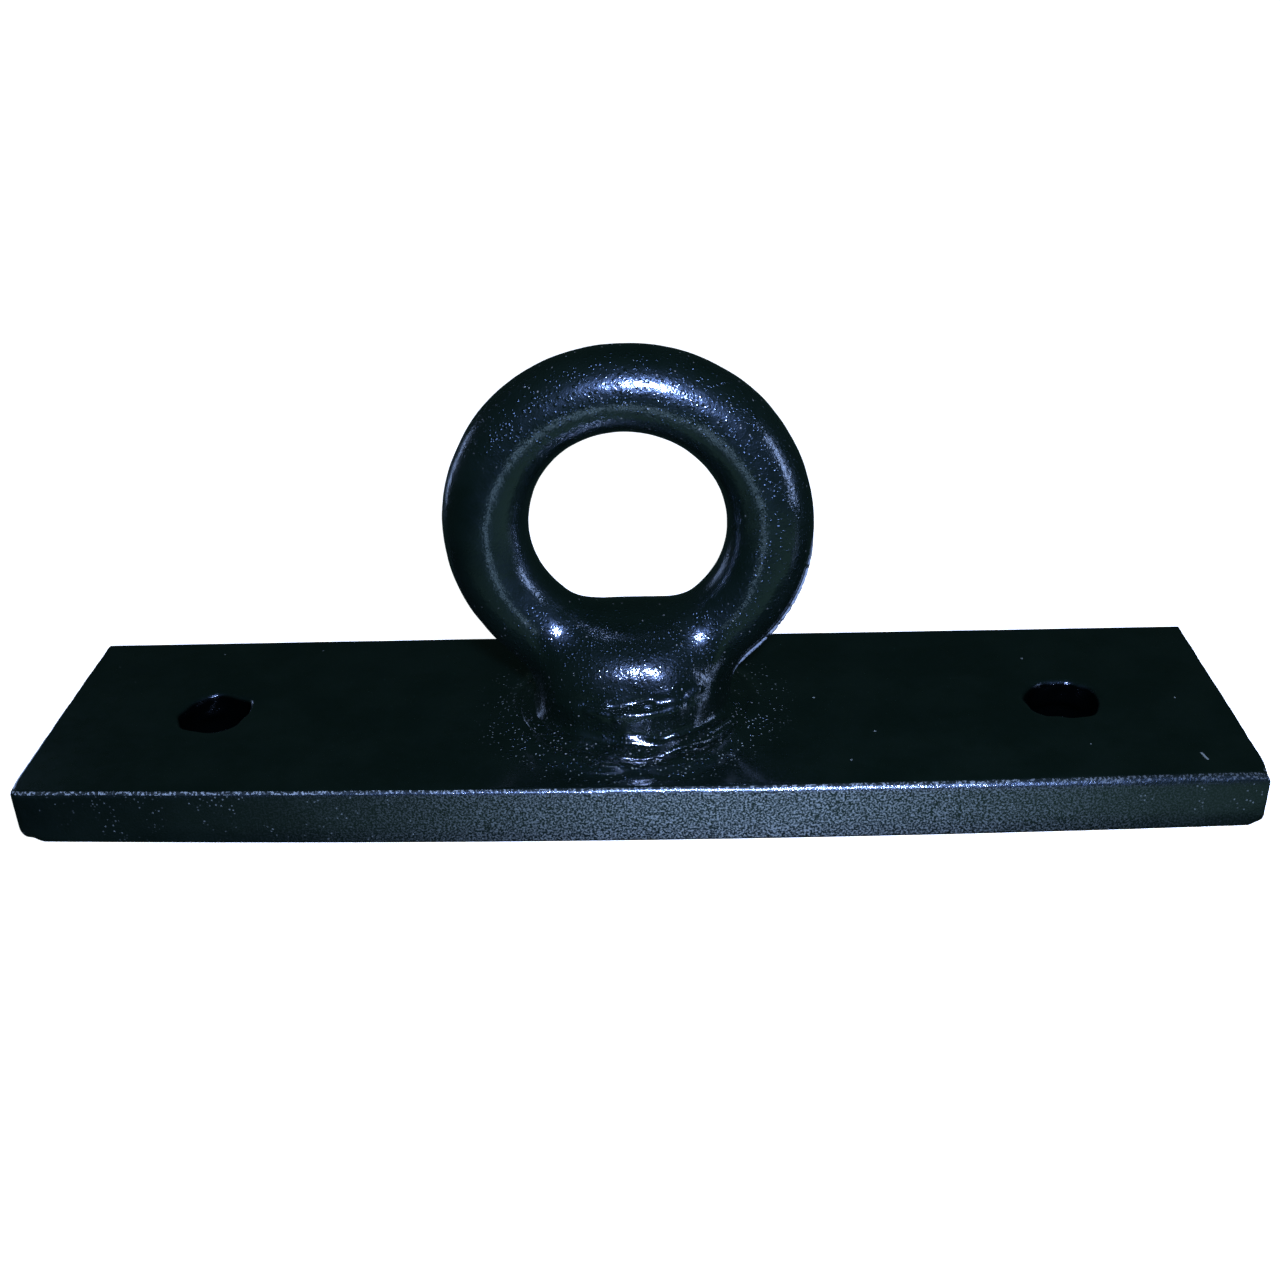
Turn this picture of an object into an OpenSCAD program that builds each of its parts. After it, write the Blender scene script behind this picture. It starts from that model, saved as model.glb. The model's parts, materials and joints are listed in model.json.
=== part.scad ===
// Welded pad eye: a forged lifting eye stood on the middle of a flat steel bar,
// which bolts down through a hole near each end.
// Millimetres, +Z up. The bar runs along X and the ring stands in the XZ plane.
// The origin is the centre of the bar's underside.

/* [Base plate] */
// Length of the flat bar
plate_length = 250; // [230:1:300]
// Width of the flat bar
plate_width = 65; // [60:1:90]
// Thickness of the flat bar
plate_thickness = 12; // [10:0.5:16]
// Corner cut on the bar's four upright edges
corner_cut = 1.5; // [1:0.5:5]
// Edge break round the bar's top and bottom faces
edge_break = 0.8; // [0.4:0.1:1.4]

/* [Mounting holes] */
// Diameter of the two mounting holes
bolt_hole_diameter = 17; // [10:0.5:22]
// Distance between the centres of the two mounting holes
bolt_hole_spacing = 180; // [150:1:190]

/* [Lifting eye] */
// Outside diameter of the ring
ring_outer_diameter = 73; // [71:0.5:75]
// Inside diameter of the ring
ring_inner_diameter = 39; // [37:0.5:41]
// Height of the ring's centre above the bar
ring_height = 41; // [40:0.5:43]
// Diameter of the collar at its foot
collar_diameter = 39; // [38.5:0.5:42]
// Height of the collar above the bar
collar_height = 9; // [8:0.5:10]
// Radius of the rounded boss between the collar and the ring
boss_radius = 17; // [16:0.1:17.2]
// How far the boss stands up into the ring's opening
boss_rise = 0.8; // [0.5:0.1:1.2]
// Diameter of the shank that stands in the bar
shank_diameter = 20; // [16:0.5:22]
// Radial gap between the shank and its hole
shank_gap = 0.25; // [0.1:0.05:0.5]

/* [Welds] */
// Radius of the inner weld run's rounded face
inner_run_radius = 3.2; // [2.6:0.1:4]
// Radius of the outer weld run's rounded face
outer_run_radius = 3.4; // [3:0.1:3.8]
// Depth of the plug weld in the bar's underside
plug_depth = 4; // [3:0.5:5]

/* [Hidden] */
$fn = 96;

// Ring: the round bar's radius and the radius of the circle it follows
ring_bar_radius = (ring_outer_diameter - ring_inner_diameter) / 4;
ring_path_radius = (ring_outer_diameter + ring_inner_diameter) / 4;
ring_centre_z = plate_thickness + ring_height;
opening_foot_z = ring_centre_z - ring_inner_diameter / 2;

// Collar: the side leans in by the forging draft and ends in a broken top edge
collar_radius = collar_diameter / 2;
collar_draft = 0.3;
collar_edge = 1.3;
collar_top_z = plate_thickness + collar_height;

// Boss: a ball cut off flat a little above the bar, inside the collar
boss_centre_z = opening_foot_z + boss_rise - boss_radius;
boss_root_z = plate_thickness + 1.5;

// Shank hole, which opens downward at 45 degrees to take the plug weld
shank_hole_radius = shank_diameter / 2 + shank_gap;
shank_top_z = plate_thickness + 2;
plug_mouth_radius = shank_hole_radius + plug_depth;

// Weld runs: how far out from the collar, and how high over the bar, each face is centred
inner_run_out = 0.3;
inner_run_up = 0.2;
outer_run_out = 4.3;
outer_run_up = -1.6;
weld_room = 2 * (inner_run_radius + outer_run_radius);

steel_black = [0.02, 0.05, 0.06];
weld_black = [0.03, 0.06, 0.08];
cut_past = 1;

// The bar's outline, with its four upright edges cut off
module plate_outline() {
    half_l = plate_length / 2;
    half_w = plate_width / 2;
    polygon([
        [half_l, half_w - corner_cut],
        [half_l - corner_cut, half_w],
        [-half_l + corner_cut, half_w],
        [-half_l, half_w - corner_cut],
        [-half_l, -half_w + corner_cut],
        [-half_l + corner_cut, -half_w],
        [half_l - corner_cut, -half_w],
        [half_l, -half_w + corner_cut]
    ]);
}

// A square bar on edge along a rim of the outline: it takes off the edge break
module rim_cutter(angle, distance, z) {
    side = edge_break * sqrt(2);
    rotate([0, 0, angle])
        translate([distance, 0, z])
            rotate([0, 45, 0])
                cube([side, plate_length + 2 * plate_width, side], center = true);
}

// The eight sides of the outline, each as its direction and its distance from the centre
function outline_sides() = [
    for (quarter = [0 : 3])
        [90 * quarter, quarter % 2 == 0 ? plate_length / 2 : plate_width / 2],
    for (sign_x = [-1, 1], sign_y = [-1, 1])
        [atan2(sign_y, sign_x), (plate_length / 2 + plate_width / 2 - corner_cut) / sqrt(2)]
];

module base_plate() {
    color(steel_black)
        difference() {
            linear_extrude(plate_thickness) plate_outline();
            for (side = outline_sides(), z = [0, plate_thickness])
                rim_cutter(side[0], side[1], z);
            for (side = [-1, 1])
                translate([side * bolt_hole_spacing / 2, 0, -cut_past])
                    cylinder(d = bolt_hole_diameter, h = plate_thickness + 2 * cut_past);
            translate([0, 0, plug_depth / 2])
                cylinder(r = shank_hole_radius, h = plate_thickness);
            plug_cone(cut_past);
        }
}

// The 45 degree cone that the plug weld fills, carried on below the bar when it is a cutter
module plug_cone(below = 0) {
    translate([0, 0, -below])
        cylinder(r1 = plug_mouth_radius + below, r2 = shank_hole_radius, h = plug_depth + below);
}

// Section of the collar, to the right of the eye's upright axis
module collar_section() {
    polygon([
        [0, plate_thickness],
        [collar_radius, plate_thickness],
        [collar_radius - collar_draft, collar_top_z - collar_edge],
        [collar_radius - collar_draft - collar_edge, collar_top_z],
        [0, collar_top_z]
    ]);
}

// Section of the boss: a half disc on the eye's upright axis, cut off at its root
module boss_section() {
    intersection() {
        translate([0, boss_centre_z]) circle(r = boss_radius);
        translate([0, boss_root_z]) square(2 * boss_radius);
    }
}

module lifting_eye() {
    color(steel_black)
        union() {
            translate([0, 0, ring_centre_z])
                rotate([90, 0, 0])
                    rotate_extrude()
                        translate([ring_path_radius, 0]) circle(r = ring_bar_radius);
            rotate_extrude() collar_section();
            rotate_extrude() boss_section();
            translate([0, 0, plug_depth])
                cylinder(d = shank_diameter, h = shank_top_z - plug_depth);
        }
}

// Section of a weld run: the part of a circle that stands above the bar, outside the collar
module run_section(out, up, radius) {
    difference() {
        intersection() {
            translate([collar_radius + out, plate_thickness + up]) circle(r = radius);
            translate([collar_radius - collar_draft, plate_thickness])
                square([weld_room, weld_room]);
        }
        collar_section();
    }
}

module inner_run_section() {
    run_section(inner_run_out, inner_run_up, inner_run_radius);
}

module collar_weld_inner_run() {
    color(weld_black) rotate_extrude() inner_run_section();
}

module collar_weld_outer_run() {
    color(weld_black)
        rotate_extrude()
            difference() {
                run_section(outer_run_out, outer_run_up, outer_run_radius);
                inner_run_section();
            }
}

module underside_plug_weld() {
    color(weld_black) plug_cone();
}

base_plate();
lifting_eye();
collar_weld_inner_run();
collar_weld_outer_run();
underside_plug_weld();
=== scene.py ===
import json
import math

import bmesh
import bpy
import numpy as np
from mathutils import Matrix, Vector, noise

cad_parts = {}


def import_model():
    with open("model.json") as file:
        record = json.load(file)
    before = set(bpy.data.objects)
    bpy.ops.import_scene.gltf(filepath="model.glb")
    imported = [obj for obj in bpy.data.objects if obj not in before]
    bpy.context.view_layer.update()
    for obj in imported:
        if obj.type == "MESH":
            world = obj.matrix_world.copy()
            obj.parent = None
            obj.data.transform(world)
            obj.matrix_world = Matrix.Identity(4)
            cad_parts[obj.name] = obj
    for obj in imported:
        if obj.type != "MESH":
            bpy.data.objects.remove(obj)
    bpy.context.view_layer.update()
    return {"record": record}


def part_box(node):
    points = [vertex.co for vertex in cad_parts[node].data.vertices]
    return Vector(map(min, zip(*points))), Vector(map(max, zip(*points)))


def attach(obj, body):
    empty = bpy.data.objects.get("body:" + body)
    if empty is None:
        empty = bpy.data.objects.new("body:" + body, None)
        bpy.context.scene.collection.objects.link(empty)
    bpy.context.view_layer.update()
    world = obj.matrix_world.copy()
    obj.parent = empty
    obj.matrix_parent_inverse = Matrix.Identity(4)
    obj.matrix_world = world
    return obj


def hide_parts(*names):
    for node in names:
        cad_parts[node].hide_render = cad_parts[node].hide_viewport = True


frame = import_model()

MM = 0.001


def high_corner(node):
    return np.array(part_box(node)[1]) / MM


# ---------------------------------------------------------------- sizes, in mm, read from the frame
BAR_HIGH = high_corner("base_plate")
EYE_HIGH = high_corner("lifting_eye")
RUN1_HIGH = high_corner("collar_weld_inner_run")
RUN2_HIGH = high_corner("collar_weld_outer_run")
MOUNTS = {m["name"]: m for m in frame["record"]["mounts"]}
HOLE_R = MOUNTS["bolt_holes"]["dims"]["hole_r_mm"]
HOLE_X = MOUNTS["bolt_holes"]["dims"]["spacing_x_mm"] / 2
RING_Z = MOUNTS["eye"]["pos_m"][2] / MM
TOP = BAR_HIGH[2]
HALF_L = BAR_HIGH[0]
HALF_W = BAR_HIGH[1]
RING_OUT = EYE_HIGH[2] - RING_Z
COLLAR_R = EYE_HIGH[1]
RUN1_R = RUN1_HIGH[0]
RUN2_R = RUN2_HIGH[0]

# ---------------------------------------------------------------- sizes, in mm, that the frame doesn't name
TUBE_R = 8.5
PATH_R = RING_OUT - TUBE_R
# how far the parting line slips toward the front, low on the ring's right side
SLIP = 3.6
COLLAR_TOP = TOP + 9.0
# the boss between the ring and the collar: its half sizes along and across the bar, where its
# sides start to round over, how far it rises from there, and how square it is in plan and section
BOSS_HALF_X = 19.6
BOSS_HALF_Y = 17.0
BOSS_START_Z = 17.0
BOSS_RISE = 17.0
BOSS_PLAN_POWER = 2.6
BOSS_SIDE_POWER = 2.5
# the shank in its hole, and the cone of plug weld under it
SHANK_R = 9.9
SHANK_TOP = TOP + 2.0
SHANK_HOLE_R = 10.25
PLUG_MOUTH_R = 14.25
PLUG_R = 14.2
PLUG_TOP = 4.0
# the weld beads' mean radius, and how far the beads and the collar reach down into the bar
BEAD_R = 3.1
BEAD_LAP = 0.7
COLLAR_LAP = 1.5
# how softly one shape runs into the next
RING_BLEND = 5.5
COLLAR_BLEND = 1.5
BEAD_BLEND = 3.0
MARK_BLEND = 0.9
HOLE_BLEND = 2.2


# ---------------------------------------------------------------- distance functions
# each takes an array of points q, in mm, and gives about how far each lies outside the shape
def smooth(lo, hi, x):
    t = np.clip((x - lo) / (hi - lo), 0.0, 1.0)
    return t * t * (3.0 - 2.0 * t)


def join(a, b, k):
    """The union of two shapes, with a fillet of about k mm between them."""
    h = np.maximum(k - np.abs(a - b), 0.0) / k
    return np.minimum(a, b) - h * h * k * 0.25


def cut(a, b, k):
    """Shape a less the shape whose inside is where b is below zero, with a rounded rim."""
    return -join(-a, b, k)


def rounded(a, b, edge):
    """Two faces that meet in a rounded edge, from the distances to both once they are set in by it."""
    return np.minimum(np.maximum(a, b), 0.0) + np.hypot(np.maximum(a, 0.0), np.maximum(b, 0.0)) - edge


def drum(rho, z, radius, low, high, edge):
    """An upright cylinder with rounded edges."""
    a = rho - radius + edge
    b = np.abs(z - (low + high) / 2) - (high - low) / 2 + edge
    return rounded(a, b, edge)


def wander(angle, seed, octaves):
    """A smooth closed wave round the collar, about -1 to 1."""
    rng = np.random.default_rng(seed)
    total = np.zeros_like(angle)
    weight = 0.0
    for n in range(1, octaves + 1):
        amp = 1.0 / n**0.7
        total = total + amp * np.sin(n * angle + rng.uniform(0, 2 * math.pi))
        weight += amp
    return total / weight * 1.6


def lumps(q, size, seed):
    """Smooth lumps of about the given size in mm, about -1 to 1, made of plane waves."""
    rng = np.random.default_rng(seed)
    total = 0.0
    for _ in range(9):
        way = rng.normal(size=3)
        way *= math.pi / size * rng.uniform(0.6, 1.4) / np.linalg.norm(way)
        total = total + np.sin(q @ way + rng.uniform(0, 2 * math.pi))
    return total / 3.0


def run_inner(q):
    """The inner bead. It starts and stops in front, a little right of the middle, where it dips."""
    x, y, z = q[..., 0], q[..., 1], q[..., 2]
    angle = np.arctan2(y, x)
    rho = np.hypot(x, y)
    dip = np.exp(-(((x - 5.5) / 3.5) ** 2)) * smooth(-5, -12, y)
    r = BEAD_R + 0.25 * wander(angle, 3, 7) + 0.28 * lumps(q, 6.0, 61) - 0.7 * dip
    centre = COLLAR_R + 0.2 + 0.35 * wander(angle, 8, 5) + swell(x, y)
    return np.hypot(rho - centre, z - TOP) - r


def run_outer(q):
    """The outer bead, whose own centre line lies below the bar's top face."""
    x, y, z = q[..., 0], q[..., 1], q[..., 2]
    angle = np.arctan2(y, x)
    rho = np.hypot(x, y)
    r = BEAD_R + 0.2 * wander(angle, 13, 7) + 0.26 * lumps(q, 6.0, 62)
    centre = RUN2_R - 3.3 + 0.5 * wander(angle, 18, 5) + swell(x, y)
    return np.hypot(rho - centre, z - TOP + 1.5) - r


def swell(x, y):
    """Both beads run wide where they cross in front of the eye."""
    return 1.7 * np.exp(-(((x - 11.5) / 7.0) ** 2)) * smooth(-6, -13, y)


def rod(q, start, stop, radius):
    """A straight round-ended rod."""
    a = np.array(start)
    along = np.array(stop) - a
    t = np.clip(((q - a) @ along) / (along @ along), 0.0, 1.0)
    return np.linalg.norm(q - a - t[..., None] * along, axis=-1) - radius


# grinder marks and paint runs round the collar: start, stop and radius of each
MARKS = (
    ((-2.8, -18.7, 19.6), (3.8, -16.9, 21.6), 0.6),
    ((-4.8, -16.2, 21.8), (7.2, -15.2, 23.5), 0.45),
    ((-8.6, -16.7, 20.4), (-4.8, -17.5, 20.6), 0.5),
    ((11.4, -14.4, 22.0), (13.2, -13.2, 22.8), 0.7),
    ((-1.0, -19.2, 15.6), (5.8, -19.7, 13.9), 0.5),
    ((5.8, -19.7, 13.9), (9.6, -19.4, 13.9), 0.5),
    ((15.6, -15.6, 14.4), (19.4, -11.8, 14.8), 0.7),
)


def eye_shape(q):
    """The lifting eye: ring, boss, leaning collar with the inner bead's upper edge on it, and shank."""
    x, y, z = q[..., 0], q[..., 1], q[..., 2]
    dz = z - RING_Z
    reach = np.hypot(x, dz) + 1e-9
    foot = np.clip(-dz / reach, -1.0, 1.0)
    ring = np.hypot(reach - PATH_R, y) - TUBE_R
    # the flash line left by the dies, trimmed away at the top
    height = 0.22 + 0.5 * smooth(5, 15, x)
    slip = SLIP * smooth(RING_Z, RING_Z - 28, z) * smooth(5, 15, x)
    ridge = height * np.exp(-(((y + slip) / 0.45) ** 2))
    ring = ring - ridge * smooth(-0.2, 0.4, foot) * smooth(PATH_R, PATH_R + 4, reach)
    rho = np.hypot(x, y)
    plan = np.abs(x / BOSS_HALF_X) ** BOSS_PLAN_POWER + np.abs(y / BOSS_HALF_Y) ** BOSS_PLAN_POWER
    plan = plan ** (1 / BOSS_PLAN_POWER)
    up = np.maximum(z - BOSS_START_Z, 0.0) / BOSS_RISE
    side = (plan**BOSS_SIDE_POWER + up**BOSS_SIDE_POWER) ** (1 / BOSS_SIDE_POWER)
    d = join(ring, BOSS_RISE * (side - 1.0), RING_BLEND)
    lean = 0.02 * x
    collar = drum(rho, z - lean, COLLAR_R - 0.15, TOP - 8.0, COLLAR_TOP, 1.0)
    d = join(d, collar, COLLAR_BLEND)
    d = join(d, run_inner(q) + 0.45, 2.6) - 0.12 * lumps(q, 3.2, 63) * smooth(26, 22, z)
    for mark in MARKS:
        d = join(d, rod(q, *mark), MARK_BLEND)
    shank = drum(rho, z, SHANK_R, PLUG_TOP, SHANK_TOP, 0.3)
    return np.minimum(np.maximum(d, TOP - COLLAR_LAP - z), shank)


def plate_shape(q):
    """The flat bar: the upright corners, the lower ends and the upper front edge are worn unevenly."""
    x, y, z = q[..., 0], q[..., 1], q[..., 2]
    corner = 0.9 - 0.4 * smooth(20, 60, x) + 1.0 * smooth(-4, -24, y) * smooth(-20, -60, x)
    qx = np.abs(x) - HALF_L + corner
    qy = np.abs(y) - HALF_W + corner
    outline = rounded(qx, qy, corner)
    upper = smooth(4.5, 7.5, z)
    end_left = smooth(-HALF_L + 6, -HALF_L + 2, x)
    end_right = smooth(HALF_L - 3.5, HALF_L - 0.5, x)
    roll = 0.5 + 2.4 * end_left + 2.0 * end_right
    brow = 0.5 + (0.8 + 1.0 * smooth(-40, HALF_L, x)) * smooth(-HALF_W + 6, -HALF_W + 1, y)
    edge = roll * (1 - upper) + brow * upper
    b = np.abs(z - TOP / 2) - TOP / 2 + edge
    a = outline + edge
    d = rounded(a, b, edge)
    for side in (-1, 1):
        px = x - side * HOLE_X
        rho = np.hypot(px, y)
        angle = np.arctan2(y, px)
        # paint has run in over the rim and left it lumpy
        clog = 1.1 + 0.2 * wander(angle, 31 + side, 4) + 0.4 * lumps(q, 2.4, 66 + side)
        hole = rho - HOLE_R + 0.12 + np.maximum(clog, 0.0) * upper
        d = cut(d, hole, HOLE_BLEND + 0.5 * wander(angle, 41 + side, 6))
    return d


def bar_shape(q):
    """The bar with the outer bead's toe run into it, and the shank's hole with its cone below."""
    x, y, z = q[..., 0], q[..., 1], q[..., 2]
    d = plate_shape(q)
    rho = np.hypot(x, y)
    d = join(d, np.maximum(run_outer(q) + 0.4, rho - RUN2_R - 3), BEAD_BLEND)
    inside = np.maximum(rho - SHANK_HOLE_R, PLUG_TOP / 2 - z)
    cone = (rho - (PLUG_MOUTH_R - z)) / math.sqrt(2.0)
    return np.maximum(d, -np.minimum(inside, np.maximum(cone, z - PLUG_TOP)))


def run_inner_piece(q):
    d = run_inner(q)
    d = join(d, run_outer(q) + 0.3, BEAD_BLEND)
    rho = np.hypot(q[..., 0], q[..., 1])
    d = np.maximum(d, rho - RUN1_R - 0.6)
    return np.maximum(np.maximum(d, TOP - BEAD_LAP - q[..., 2]), COLLAR_R - 1.0 - rho)


def run_outer_piece(q):
    rho = np.hypot(q[..., 0], q[..., 1])
    d = run_outer(q)
    return np.maximum(np.maximum(d, TOP - BEAD_LAP - q[..., 2]), COLLAR_R + 0.8 - rho)


def plug_piece(q):
    x, y, z = q[..., 0], q[..., 1], q[..., 2]
    rho = np.hypot(x, y)
    cone = (rho - (PLUG_R - z)) / math.sqrt(2.0)
    # the swirl that a grinder leaves on its flush lower face
    swirl = 0.05 * np.sin(2.4 * rho + 2.0 * np.arctan2(y, x))
    return np.maximum(np.maximum(cone, z - PLUG_TOP + 0.1), 0.12 + swirl - z)


# ---------------------------------------------------------------- mesh from a distance function
def add_object(name, data):
    obj = bpy.data.objects.new(name, data)
    bpy.context.scene.collection.objects.link(obj)
    return obj


def levels(*spans):
    """Grid lines from (start, stop, step) spans laid end to end."""
    out = []
    for start, stop, step in spans:
        n = max(1, int(round((stop - start) / step)))
        out.extend(start + (stop - start) * i / n for i in range(n))
    out.append(spans[-1][1])
    return np.array(out)


def surface_points(val, grid, inside):
    """A vertex for each grid cell that the surface crosses: the mean of the crossings on its edges."""
    nx, ny, nz = (n - 1 for n in val.shape)
    total = np.zeros((nx, ny, nz, 3))
    count = np.zeros((nx, ny, nz))
    for axis in range(3):
        lo = [slice(None)] * 3
        hi = [slice(None)] * 3
        lo[axis] = slice(0, -1)
        hi[axis] = slice(1, None)
        a, b = val[tuple(lo)], val[tuple(hi)]
        cross = inside[tuple(lo)] != inside[tuple(hi)]
        t = np.where(cross, a / np.where(cross, a - b, 1.0), 0.0)
        point = grid[tuple(lo)] * (1 - t)[..., None] + grid[tuple(hi)] * t[..., None]
        others = [k for k in range(3) if k != axis]
        for u in (0, 1):
            for v in (0, 1):
                pick = [slice(None)] * 3
                size = val.shape
                pick[others[0]] = slice(u, u + size[others[0]] - 1)
                pick[others[1]] = slice(v, v + size[others[1]] - 1)
                c = cross[tuple(pick)]
                count += c
                total += np.where(c[..., None], point[tuple(pick)], 0.0)
    live = count > 0
    index = np.full(live.shape, -1)
    index[live] = np.arange(live.sum())
    return total[live] / count[live][:, None], index


def surface_quads(inside, index):
    """A quad round each grid edge that the surface crosses, wound so that it faces outward."""
    quads = []
    for axis in range(3):
        lo = [slice(1, -1)] * 3
        hi = [slice(1, -1)] * 3
        lo[axis] = slice(0, -1)
        hi[axis] = slice(1, None)
        a, b = inside[tuple(lo)], inside[tuple(hi)]
        where = np.argwhere(a != b)
        first = a[tuple(where.T)]
        p, r = [k for k in range(3) if k != axis]
        cells = []
        for du, dv in ((0, 0), (1, 0), (1, 1), (0, 1)):
            cell = where.copy()
            cell[:, p] += du
            cell[:, r] += dv
            cells.append(index[tuple(cell.T)])
        quad = np.stack(cells, 1)
        flip = first if axis != 1 else ~first
        quad[~flip] = quad[~flip][:, ::-1]
        quads.append(quad)
    return np.concatenate(quads)


def settle(shape, verts):
    """The vertices after a few Newton steps, none of them long, onto the shape's zero level."""
    for _ in range(3):
        slope = gradient(shape, verts, 0.02)
        size = (slope * slope).sum(1)
        move = np.clip(-shape(verts) / np.maximum(size, 0.2), -0.3, 0.3)
        verts = verts + slope * move[:, None]
    return verts


def gradient(shape, verts, step):
    cols = []
    for axis in range(3):
        shift = np.zeros(3)
        shift[axis] = step
        cols.append((shape(verts + shift) - shape(verts - shift)) / (2 * step))
    return np.stack(cols, 1)


def quad_object(name, verts, faces):
    """A smooth-shaded object made of vertices in mm and four-sided faces."""
    mesh = bpy.data.meshes.new(name)
    mesh.vertices.add(len(verts))
    mesh.vertices.foreach_set("co", (verts * MM).astype(np.float32).ravel())
    mesh.loops.add(faces.size)
    mesh.loops.foreach_set("vertex_index", faces.astype(np.int32).ravel())
    mesh.polygons.add(len(faces))
    mesh.polygons.foreach_set("loop_start", np.arange(0, faces.size, 4, dtype=np.int32))
    mesh.polygons.foreach_set("use_smooth", np.ones(len(faces), bool))
    mesh.update(calc_edges=True)
    mesh.validate()
    return add_object(name, mesh)


def skin(name, shape, xs, ys, zs, rough=None):
    """A closed quad mesh on the zero level of a distance function, roughened along its normals."""
    grid = np.stack(np.meshgrid(xs, ys, zs, indexing="ij"), -1)
    val = np.stack([shape(sheet) for sheet in grid])
    inside = val < 0
    verts, index = surface_points(val, grid, inside)
    verts = settle(shape, verts)
    if rough is not None:
        slope = gradient(shape, verts, 0.1)
        slope /= np.linalg.norm(slope, axis=1)[:, None] + 1e-9
        verts = verts + slope * rough(verts, slope)[:, None]
    return quad_object(name, verts, surface_quads(inside, index))


def field(verts, scale, seed, depth=1):
    """Smooth noise at the vertices, about -1 to 1, with features of the given size in mm."""
    off = Vector((seed * 13.7, seed * 7.3, seed * 3.1))
    out = np.empty(len(verts))
    for i, v in enumerate(verts):
        p = Vector(v) / scale + off
        out[i] = noise.noise(p) if depth == 1 else noise.fractal(p, 1.0, 2.0, depth)
    return out


# ---------------------------------------------------------------- materials
PAINT_DARK = (0.0013, 0.0032, 0.0016)
PAINT_LIGHT = (0.0023, 0.0047, 0.0026)
SPECK_AND_GLINT_PALE = (0.14, 0.135, 0.115)
PARTING_HIGHLIGHT_PALE = (0.30, 0.32, 0.33)
DUST_AND_SHEEN_PALE = (0.185, 0.20, 0.172)
EDGE_HIGHLIGHT_PALE = (0.19, 0.205, 0.19)
HOLE_SHADE_BLACK = (0.0002, 0.0004, 0.0004)
GLINT_BLUE = (0.60, 0.76, 1.0)
PAINT_IOR = 1.5
# the painted sheen on the sides, laid in with the dust, is brightest here, and thins out over this distance
SHEEN_MIDDLE_X = 24.0
SHEEN_REACH = 125.0
# the middle of the short scratch near the bar's right end, and its slope
SCRATCH_X = 113.3
SCRATCH_Y = -24.8
SCRATCH_SLOPE = 4.5


class Nodes:
    """A node material with one shader, and short ways to add to it. Sizes are in mm."""

    def __init__(self, name):
        self.mat = bpy.data.materials.new(name)
        self.mat.use_nodes = True
        self.tree = self.mat.node_tree
        self.tree.nodes.clear()
        out = self.add("ShaderNodeOutputMaterial")
        self.shader = self.add("ShaderNodeBsdfPrincipled")
        self.link(self.shader.outputs[0], out.inputs["Surface"])
        geometry = self.add("ShaderNodeNewGeometry")
        self.place = geometry.outputs["Position"]
        self.normal = geometry.outputs["Normal"]

    def add(self, kind, **settings):
        node = self.tree.nodes.new(kind)
        for key, value in settings.items():
            setattr(node, key, value)
        return node

    def link(self, a, b):
        self.tree.links.new(a, b)

    def noise(self, size, detail=2.0, roughness=0.5):
        n = self.add("ShaderNodeTexNoise")
        n.inputs["Scale"].default_value = 1.0 / (size * MM)
        n.inputs["Detail"].default_value = detail
        n.inputs["Roughness"].default_value = roughness
        self.link(self.place, n.inputs["Vector"])
        return n.outputs["Fac"]

    def ramp(self, value, low, high, to_low=0.0, to_high=1.0):
        n = self.add("ShaderNodeMapRange", interpolation_type="SMOOTHSTEP")
        self.link(value, n.inputs["Value"])
        n.inputs["From Min"].default_value = low
        n.inputs["From Max"].default_value = high
        n.inputs["To Min"].default_value = to_low
        n.inputs["To Max"].default_value = to_high
        return n.outputs["Result"]

    def math(self, op, a, b=None):
        n = self.add("ShaderNodeMath", operation=op)
        for i, v in enumerate((a, b)):
            if v is None:
                continue
            if isinstance(v, (int, float)):
                n.inputs[i].default_value = v
            else:
                self.link(v, n.inputs[i])
        return n.outputs[0]

    def mix(self, fac, a, b):
        n = self.add("ShaderNodeMix", data_type="RGBA")
        self.link(fac, n.inputs["Factor"])
        for socket, colour in ((n.inputs[6], a), (n.inputs[7], b)):
            if isinstance(colour, tuple):
                socket.default_value = (*colour, 1.0)
            else:
                self.link(colour, socket)
        return n.outputs[2]

    def relief(self, height, distance, normal=None):
        n = self.add("ShaderNodeBump")
        n.inputs["Distance"].default_value = distance * MM
        n.inputs["Strength"].default_value = 1.0
        self.link(height, n.inputs["Height"])
        if normal is not None:
            self.link(normal, n.inputs["Normal"])
        return n.outputs["Normal"]


def nibs(m, size, share, seed, width=0.36):
    """Round grains set in the paint: a share of the cells of the given size in mm hold one."""
    shift = m.add("ShaderNodeVectorMath", operation="ADD")
    m.link(m.place, shift.inputs[0])
    shift.inputs[1].default_value = (seed * 0.013, seed * 0.007, seed * 0.011)
    cells = m.add("ShaderNodeTexVoronoi")
    cells.inputs["Scale"].default_value = 1.0 / (size * MM)
    m.link(shift.outputs[0], cells.inputs["Vector"])
    dome = m.ramp(cells.outputs["Distance"], 0.0, width, 1.0, 0.0)
    pick = m.add("ShaderNodeSeparateColor")
    m.link(cells.outputs["Color"], pick.inputs[0])
    chosen = m.ramp(pick.outputs[0], 1.0 - share, 1.03 - share)
    return m.math("MULTIPLY", dome, chosen)


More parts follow.
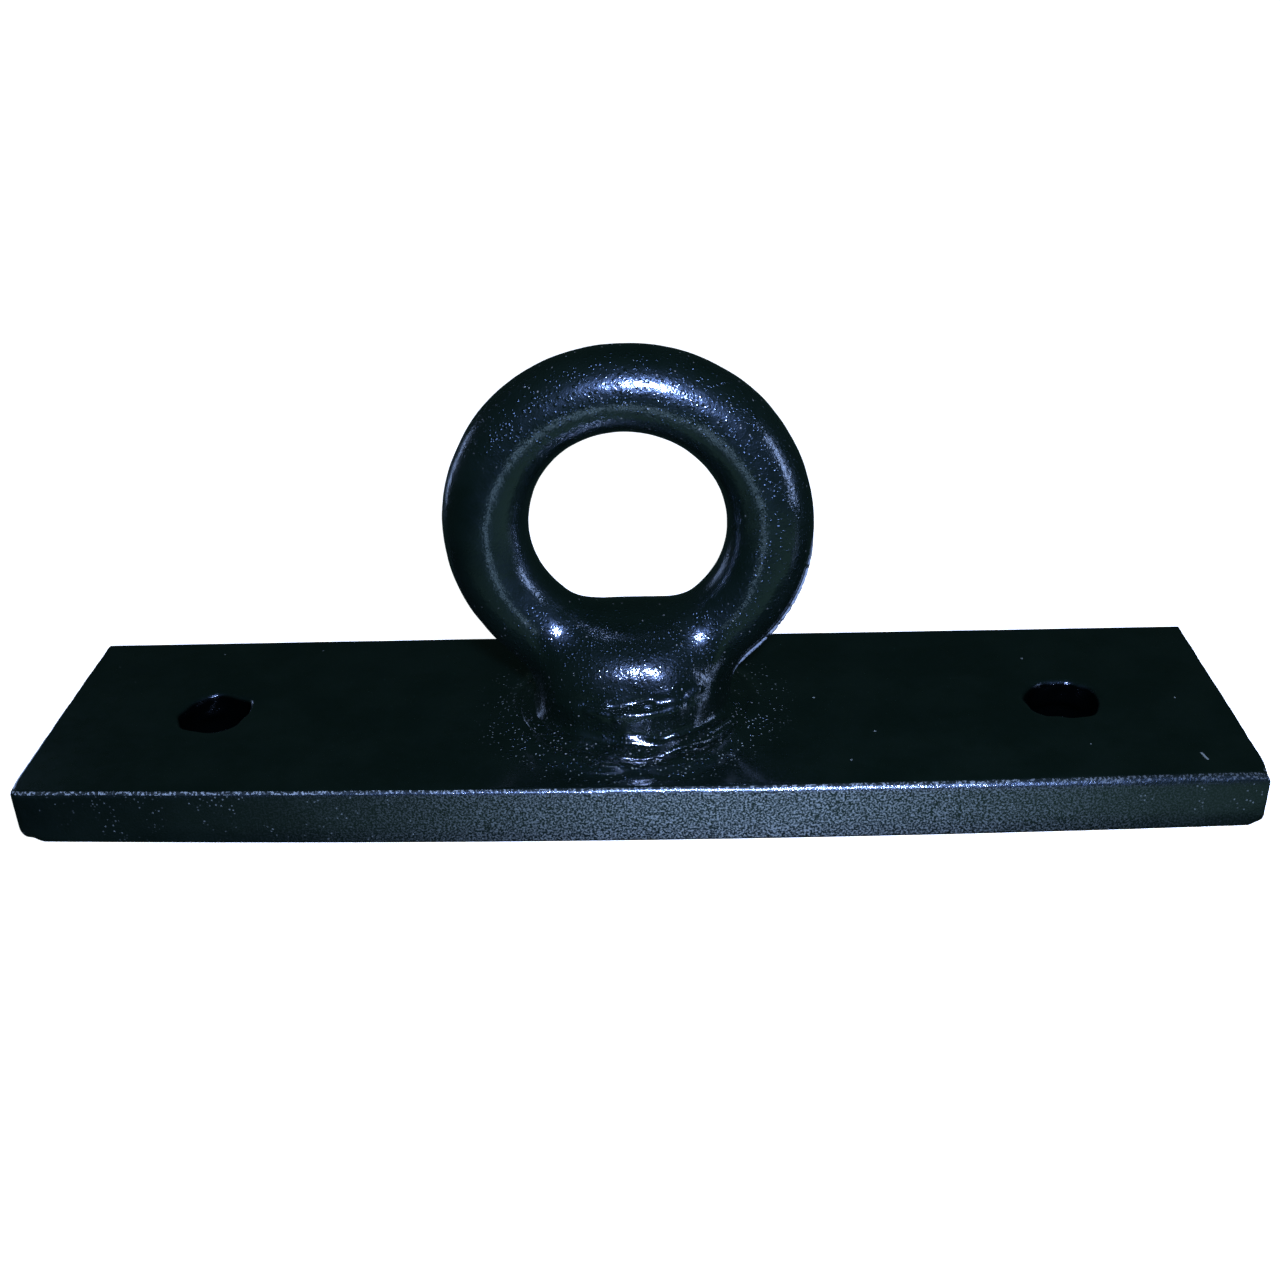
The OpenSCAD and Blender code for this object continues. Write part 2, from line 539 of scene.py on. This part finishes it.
def paint(name, peel, grain, proud, grit_and_glints, shine, where=None, extra=None):
    """Thick black gloss paint: a smooth clear face with orange peel, over a body full of fine grains.

    peel and grain raise the face's coarse and fine texture, proud the grains in the body, grit the share of
    pale specks, some real and some painted glints, and shine the body's own glint. where says where grains
    and glints lie, and extra adds the rest.
    """
    m = Nodes(name)
    there = where(m) if where else 1.0
    base = m.mix(m.ramp(m.noise(14, 3.0), 0.35, 0.7), PAINT_DARK, PAINT_LIGHT)
    rough = m.ramp(m.noise(2.5, 3.0), 0.3, 0.7, 0.27, 0.33)
    soft = m.relief(m.noise(2.4, 2.0), 0.05 * peel)
    face = m.relief(m.noise(0.62, 2.0, 0.6), 0.06 * grain, soft)
    face = m.relief(m.math("MULTIPLY", nibs(m, 0.8, 0.5, 9, 0.42), there), 0.05 * proud, face)
    body = m.relief(m.math("MULTIPLY", nibs(m, 0.95, 0.60, 1, 0.42), there), 0.21 * proud, face)
    body = m.relief(m.math("MULTIPLY", nibs(m, 0.62, 0.45, 2, 0.42), there), 0.12 * proud, body)
    # pale specks: some are real specks in the paint, some are painted glints that stand in for the lamps'
    # sparkle
    specks = m.math("MULTIPLY", m.ramp(nibs(m, 0.85, grit_and_glints, 7, 0.32), 0.15, 0.5), there)
    base = m.mix(specks, base, SPECK_AND_GLINT_PALE)
    m.shader.inputs["IOR"].default_value = PAINT_IOR
    m.shader.inputs["Specular IOR Level"].default_value = shine
    m.shader.inputs["Specular Tint"].default_value = (*GLINT_BLUE, 1.0)
    m.shader.inputs["Coat Weight"].default_value = 1.0
    m.shader.inputs["Coat IOR"].default_value = PAINT_IOR
    m.shader.inputs["Coat Roughness"].default_value = 0.14
    if extra:
        base, face, body = extra(m, base, face, body)
    m.link(face, m.shader.inputs["Coat Normal"])
    m.link(body, m.shader.inputs["Normal"])
    m.link(base, m.shader.inputs["Base Color"])
    m.link(rough, m.shader.inputs["Roughness"])
    return m.mat


def split(m, vector=None):
    spot = m.add("ShaderNodeSeparateXYZ")
    m.link(vector or m.place, spot.inputs[0])
    return spot.outputs


def length(m, a, b):
    return m.math("SQRT", m.math("ADD", m.math("MULTIPLY", a, a), m.math("MULTIPLY", b, b)))


def eye_grainy(m):
    """The eye's grains lie on its crown, on its right flank and round its foot, where the lamps' highlights
    fall; their pale specks are painted glints.
    """
    x, _, z = split(m)
    crown = m.ramp(z, (RING_Z + 12) * MM, (RING_Z + 22) * MM)
    flank = m.ramp(x, 18 * MM, 26 * MM)
    foot = m.ramp(z, 42 * MM, 34 * MM, 0.0, 0.8)
    return m.math("MAXIMUM", m.math("MAXIMUM", crown, m.math("MULTIPLY", flank, 0.7)), foot)


def eye_extra(m, base, face, body):
    """A painted highlight: pale paint along the parting line at the ring's lower right, where light catches
    the fin.
    """
    x, y, z = split(m)
    slip = m.ramp(z, RING_Z * MM, (RING_Z - 28) * MM, 0.0, SLIP * MM)
    line = m.ramp(m.math("ABSOLUTE", m.math("ADD", y, slip)), 0.65 * MM, 0.40 * MM)
    # only on the lower right of the ring, and not down on the collar
    out = m.ramp(m.math("SUBTRACT", x, z), (38 - RING_Z) * MM, (41 - RING_Z) * MM)
    out = m.math("MULTIPLY", out, m.ramp(z, 20 * MM, 24 * MM))
    low = m.math("MULTIPLY", m.ramp(z, RING_Z * MM, (RING_Z - 12) * MM), out)
    # painted highlight: the thin pale line that light draws along the fin
    parting_highlight = m.math("MULTIPLY", m.math("MULTIPLY", line, low), m.ramp(m.noise(1.6, 3.0), 0.38, 0.5))
    # the grains' glints are duller at the foot, where more paint has run over them
    m.link(m.ramp(z, 26 * MM, 42 * MM, 0.14, 0.42), m.shader.inputs["Specular IOR Level"])
    return m.mix(parting_highlight, base, PARTING_HIGHLIGHT_PALE), face, body


def bar_extra(m, base, face, _):
    """The bar's sides are grainy and dusty with a painted sheen, its holes painted dark as shade, its top
    edges with a painted highlight, and spatter lies round the welds.
    """
    x, y, z = split(m)
    tilt = split(m, m.normal)[2]
    level = m.math("ABSOLUTE", tilt)
    flat = m.ramp(level, 0.50, 0.20)
    edge = m.math("SUBTRACT", m.ramp(level, 0.98, 0.80), flat)
    # dust on the sides, in clusters toward the ends, and a painted sheen of the flash in the same pale,
    # brightest a little right of the middle
    dust_and_sheen = m.ramp(m.noise(0.42, 2.0, 0.6), 0.42, 0.66)
    off_middle = m.math("ABSOLUTE", m.math("SUBTRACT", x, SHEEN_MIDDLE_X * MM))
    middle = m.ramp(off_middle, SHEEN_REACH * MM, 0, 0.10, 1.0)
    dust_and_sheen = m.math("MULTIPLY", dust_and_sheen, m.math("POWER", middle, 2.4))
    specks = m.math("MULTIPLY", nibs(m, 0.8, 0.5, 5), m.ramp(m.noise(5, 2.0), 0.5, 0.62, 0.0, 0.7))
    dust_and_sheen = m.math("MULTIPLY", flat, m.math("MAXIMUM", dust_and_sheen, specks))
    # painted highlight: pale dots along the top's rounded edges stand in for the flash's highlight there,
    # strongest toward the left end
    brink = m.math("MULTIPLY", m.ramp(tilt, 0.94, 0.86), m.ramp(tilt, 0.45, 0.55))
    outer = m.ramp(m.math("ABSOLUTE", y), (HALF_W - 3.5) * MM, (HALF_W - 2.5) * MM)
    brink = m.math("MULTIPLY", brink, outer)
    edge_highlight = m.math("MULTIPLY", brink, m.ramp(m.noise(0.55, 2.0, 0.6), 0.50, 0.62, 0.05, 1.0))
    edge_highlight = m.math("MULTIPLY", edge_highlight, m.ramp(x, 30 * MM, 115 * MM, 1.0, 0.30))
    # and here and there a pale nib or a scratch on top
    spot = m.ramp(nibs(m, 6.0, 0.35, 4, 0.075), 0.2, 0.6)
    off_x = m.math("SUBTRACT", x, SCRATCH_X * MM)
    off_y = m.math("SUBTRACT", y, SCRATCH_Y * MM)
    across = m.math("ADD", m.math("MULTIPLY", off_x, SCRATCH_SLOPE), off_y)
    thin = m.ramp(m.math("ABSOLUTE", across), 1.5 * MM, 0.8 * MM)
    scratch = m.math("MULTIPLY", thin, m.ramp(m.math("ABSOLUTE", off_y), 1.5 * MM, 1.2 * MM))
    upper = m.ramp(z, 1 * MM, 5 * MM)
    spot = m.math("MULTIPLY", m.math("MAXIMUM", spot, scratch), upper)
    pale = m.math("MAXIMUM", dust_and_sheen, m.math("MULTIPLY", spot, 0.8))
    reach = m.math("MULTIPLY", m.ramp(length(m, x, y), 38 * MM, 26 * MM), upper)
    shed = m.ramp(m.math("MULTIPLY", nibs(m, 0.8, 0.42, 6, 0.34), reach), 0.15, 0.5)
    pale = m.math("MAXIMUM", pale, m.math("MULTIPLY", shed, 0.75))
    base = m.mix(pale, base, DUST_AND_SHEEN_PALE)
    base = m.mix(edge_highlight, base, EDGE_HIGHLIGHT_PALE)
    grain = m.noise(0.55, 3.0, 0.65)
    depth = m.math("ADD", m.math("MULTIPLY", flat, 0.12), m.math("MULTIPLY", edge, 0.08))
    face = m.relief(m.math("MULTIPLY", grain, depth), 1.0, face)
    m.link(m.ramp(flat, 0.0, 1.0, 0.12, 0.26), m.shader.inputs["Coat Roughness"])
    # spatter near the welds
    spatter = m.math("MULTIPLY", nibs(m, 0.95, 0.45, 3, 0.42), reach)
    body = m.relief(spatter, 0.4, face)
    # painted shade: inside the holes the walls are painted near black, with their coat and glint turned
    # down, for the shade in there
    away = m.math("SUBTRACT", m.math("ABSOLUTE", x), HOLE_X * MM)
    inside = m.ramp(length(m, away, y), 9.4 * MM, 8.6 * MM)
    hole_shade = m.math("MULTIPLY", inside, m.ramp(z, (TOP - 0.25) * MM, (TOP - 1.1) * MM))
    m.link(m.ramp(hole_shade, 0.0, 1.0, 1.0, 0.08), m.shader.inputs["Coat Weight"])
    m.link(m.ramp(hole_shade, 0.0, 1.0, 0.4, 0.0), m.shader.inputs["Specular IOR Level"])
    return m.mix(hole_shade, base, HOLE_SHADE_BLACK), face, body


def floor_material(name, glow):
    """A pale material bright enough to come out white."""
    m = Nodes(name)
    tone = m.mix(m.noise(160, 2.0), (0.80, 0.80, 0.80), (0.84, 0.84, 0.84))
    m.link(tone, m.shader.inputs["Base Color"])
    m.shader.inputs["Roughness"].default_value = 0.9
    m.shader.inputs["Specular IOR Level"].default_value = 0.1
    m.shader.inputs["Emission Color"].default_value = (0.97, 1.0, 1.0, 1.0)
    m.shader.inputs["Emission Strength"].default_value = glow
    return m.mat


# ---------------------------------------------------------------- pieces
def put(obj, node, material):
    obj.data.materials.append(material)
    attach(obj, "root")
    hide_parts(node)


def eye_rough(v, n):
    """The forging's waviness. It sinks a little at the top, so that the ring stays inside its box."""
    shrink = smooth(EYE_HIGH[2] - 3, EYE_HIGH[2], v[:, 2])
    out = 0.16 * field(v, 13.0, 1, 2) + 0.04 * field(v, 4.0, 2, 2) + 0.022 * field(v, 1.4, 7)
    return out - 0.2 * shrink


def bar_rough(v, n):
    """Paint that lies nearly flat on top and wavy on the sides, all kept inside the bar's box."""
    top = smooth(0.6, 0.95, n[:, 2])
    side = 1 - smooth(0.5, 0.9, np.abs(n[:, 2]))
    out = 0.05 * field(v, 18.0, 3) * top
    out += (0.10 * field(v, 5.0, 4, 2) + 0.05 * field(v, 1.8, 5)) * side
    return out - 0.06 - 0.06 * side


def weld_rough(v, n):
    return 0.10 * field(v, 2.2, 6, 2)


bar_paint = paint("bar_paint", peel=0.2, grain=0.04, proud=0.0, grit_and_glints=0.0, shine=0.4, extra=bar_extra)
eye_paint = paint(
    "eye_paint", peel=1.0, grain=1.0, proud=1.0, grit_and_glints=0.09, shine=0.5, where=eye_grainy, extra=eye_extra
)
weld_paint = paint("weld_paint", peel=1.2, grain=1.0, proud=1.8, grit_and_glints=0.36, shine=0.16)

eye = skin(
    "eye",
    eye_shape,
    levels((-38, -20, 0.55), (-20, 20, 0.47), (20, 38, 0.55)),
    levels((-22, -12, 0.45), (-12, -2, 0.55), (-2, 2, 0.3), (2, 22, 0.6)),
    levels((3, 12, 0.8), (12, 26, 0.42), (26, 91, 0.55)),
    eye_rough,
)
put(eye, "lifting_eye", eye_paint)

bar = skin(
    "bar",
    bar_shape,
    levels(
        (-126, -118, 0.5), (-118, -101, 1.4), (-101, -79, 0.6), (-79, -31, 1.4), (-31, 31, 0.7),
        (31, 79, 1.4), (79, 101, 0.6), (101, 118, 1.4), (118, 126, 0.5),
    ),
    levels((-33.5, -29, 0.4), (-29, 29, 0.7), (29, 33.5, 0.5)),
    levels((-1, 4, 0.5), (4, 9.5, 0.8), (9.5, 15.2, 0.4)),
    bar_rough,
)
put(bar, "base_plate", bar_paint)

ring_grid = levels((-29, 29, 0.4))
inner = skin("inner_run", run_inner_piece, ring_grid, ring_grid, levels((10.5, 16.8, 0.35)), weld_rough)
put(inner, "collar_weld_inner_run", weld_paint)
outer = skin("outer_run", run_outer_piece, ring_grid, ring_grid, levels((10.5, 15.0, 0.35)), weld_rough)
put(outer, "collar_weld_outer_run", weld_paint)
plug_grid = levels((-15, 15, 0.5))
plug = skin("plug_weld", plug_piece, plug_grid, plug_grid, levels((-0.5, 4.5, 0.4)))
put(plug, "underside_plug_weld", weld_paint)


# ---------------------------------------------------------------- floor, light and camera, in metres
FLOOR_HALF = 30.0
FLOOR_DROP = 0.0002
FLOOR_GLOW = 0.9
BACKDROP_R = 4.0
BACKDROP_GLOW = 1.2
CARD_Z = 0.0005
FLASH_BLUE = (0.38, 0.52, 1.0)
STRIP_BLUE = (0.42, 0.58, 1.0)
STRIP_SIZE = (0.04, 0.12)
ROOM_TEAL = (0.29, 0.70, 0.66)
ROOM_STRENGTH = 0.022

# the camera: the angles it looks from in degrees, the point it looks at and its distance from it
AZIMUTH = 2.154
RISE = 26.959
ROLL = -2.010
AIM = (0.001669, 0.0, 0.02726)
DISTANCE = 0.31054
# its lens: sensor and focal length in mm, the field it covers in radians, and its barrel distortion
SENSOR = 36.0
FOCAL = 42.87
LENS_FIELD = 1.6
BARREL = 0.113


def floor():
    mesh = bpy.data.meshes.new("floor")
    s = FLOOR_HALF
    mesh.from_pydata([(-s, -s, 0), (s, -s, 0), (s, s, 0), (-s, s, 0)], [], [(0, 1, 2, 3)])
    mesh.materials.append(floor_material("pale_floor", FLOOR_GLOW))
    obj = add_object("floor", mesh)
    obj.location.z = -FLOOR_DROP
    obj.visible_glossy = False
    obj.visible_diffuse = False


def backdrop():
    """A pale ball round the studio, seen by the camera alone, so that low views stay on white."""
    ball = bmesh.new()
    bmesh.ops.create_uvsphere(ball, u_segments=32, v_segments=16, radius=BACKDROP_R)
    mesh = bpy.data.meshes.new("backdrop")
    ball.to_mesh(mesh)
    ball.free()
    mesh.materials.append(floor_material("pale_backdrop", BACKDROP_GLOW))
    obj = add_object("backdrop", mesh)
    obj.visible_glossy = False
    obj.visible_diffuse = False
    obj.visible_shadow = False


def lamp(name, place, aim, size, power, colour):
    data = bpy.data.lights.new(name, "AREA")
    data.shape = "RECTANGLE"
    data.size, data.size_y = size
    data.energy = power
    data.color = colour
    obj = add_object(name, data)
    obj.location = place
    obj.rotation_euler = (Vector(aim) - Vector(place)).to_track_quat("-Z", "Y").to_euler()


def sun(toward, strength, spread):
    """A broad soft light from above, which the paint doesn't mirror."""
    data = bpy.data.lights.new("sky_panel", "SUN")
    data.energy = strength
    data.angle = math.radians(spread)
    obj = add_object("sky_panel", data)
    obj.rotation_euler = Vector(toward).to_track_quat("Z", "Y").to_euler()
    obj.visible_glossy = False


def world():
    w = bpy.data.worlds.new("studio")
    w.use_nodes = True
    w.node_tree.nodes["Background"].inputs["Color"].default_value = (*ROOM_TEAL, 1)
    w.node_tree.nodes["Background"].inputs["Strength"].default_value = ROOM_STRENGTH
    bpy.context.scene.world = w


def camera():
    azimuth, rise, roll = (math.radians(a) for a in (AZIMUTH, RISE, ROLL))
    back = Vector(
        (math.sin(azimuth) * math.cos(rise), -math.cos(azimuth) * math.cos(rise), math.sin(rise))
    )
    right = (-back).cross(Vector((0, 0, 1))).normalized()
    up = right.cross(-back)
    side = right * math.cos(roll) + up * math.sin(roll)
    top = -right * math.sin(roll) + up * math.cos(roll)
    place = Vector(AIM) + back * DISTANCE
    data = bpy.data.cameras.new("camera")
    data.type = "PANO"
    data.panorama_type = "FISHEYE_LENS_POLYNOMIAL"
    data.sensor_width = SENSOR
    data.sensor_height = SENSOR
    data.lens = FOCAL
    data.fisheye_fov = LENS_FIELD
    data.fisheye_polynomial_k0 = 0.0
    data.fisheye_polynomial_k1 = -1.0 / FOCAL
    data.fisheye_polynomial_k2 = 0.0
    data.fisheye_polynomial_k3 = BARREL / FOCAL**3
    data.fisheye_polynomial_k4 = 0.0
    data.clip_start = 0.01
    obj = add_object("camera", data)
    turn = Matrix((side, top, back)).transposed().to_4x4()
    turn.translation = place
    obj.matrix_world = turn
    bpy.context.scene.camera = obj


def card(name, low, high, colour, strength):
    """A glowing card that lies on the floor in front: the paint mirrors it, the camera can't see it."""
    mesh = bpy.data.meshes.new(name)
    (x0, y0), (x1, y1) = low, high
    z = CARD_Z
    mesh.from_pydata([(x0, y0, z), (x1, y0, z), (x1, y1, z), (x0, y1, z)], [], [(0, 1, 2, 3)])
    m = Nodes(name)
    m.shader.inputs["Base Color"].default_value = (0.0, 0.0, 0.0, 1)
    m.shader.inputs["Specular IOR Level"].default_value = 0.0
    m.shader.inputs["Emission Color"].default_value = (*colour, 1)
    # brightest in its middle and along its high corner's edge, fading toward the low one's
    x, y, _ = split(m)
    near = m.ramp(y, y0, y1)
    half = (x1 - x0) / 2
    offset = m.math("ABSOLUTE", m.math("SUBTRACT", x, (x0 + x1) / 2))
    middle = m.ramp(offset, half, half * 0.1)
    glow = m.math("MULTIPLY", m.math("MULTIPLY", near, middle), strength)
    m.link(glow, m.shader.inputs["Emission Strength"])
    mesh.materials.append(m.mat)
    obj = add_object(name, mesh)
    obj.visible_camera = False
    obj.visible_diffuse = False
    obj.visible_shadow = False


floor()
backdrop()
world()
camera()
# the soft pale bands that the ring and the bar's front side mirror
card("front_card", (-0.14, -0.21), (0.25, -0.036), (0.50, 1.0, 0.85), 0.24)
card("near_patch", (-0.025, -0.060), (0.004, -0.150), (0.46, 0.72, 1.0), 6.5)
sun((0.1, 0.35, 1.0), 0.6, 90)
# the flash beside the lens, and a dim strip on either side
lamp("flash", (0.036, -0.280, 0.208), (0, 0, 0.04), (0.03, 0.018), 3.6, FLASH_BLUE)
lamp("side_strip", (0.31, -0.10, 0.085), (0, 0, 0.06), STRIP_SIZE, 0.22, STRIP_BLUE)
lamp("left_strip", (-0.285, 0.17, 0.055), (0, 0, 0.05), STRIP_SIZE, 0.045, STRIP_BLUE)
view = bpy.context.scene.view_settings
view.view_transform = "Standard"
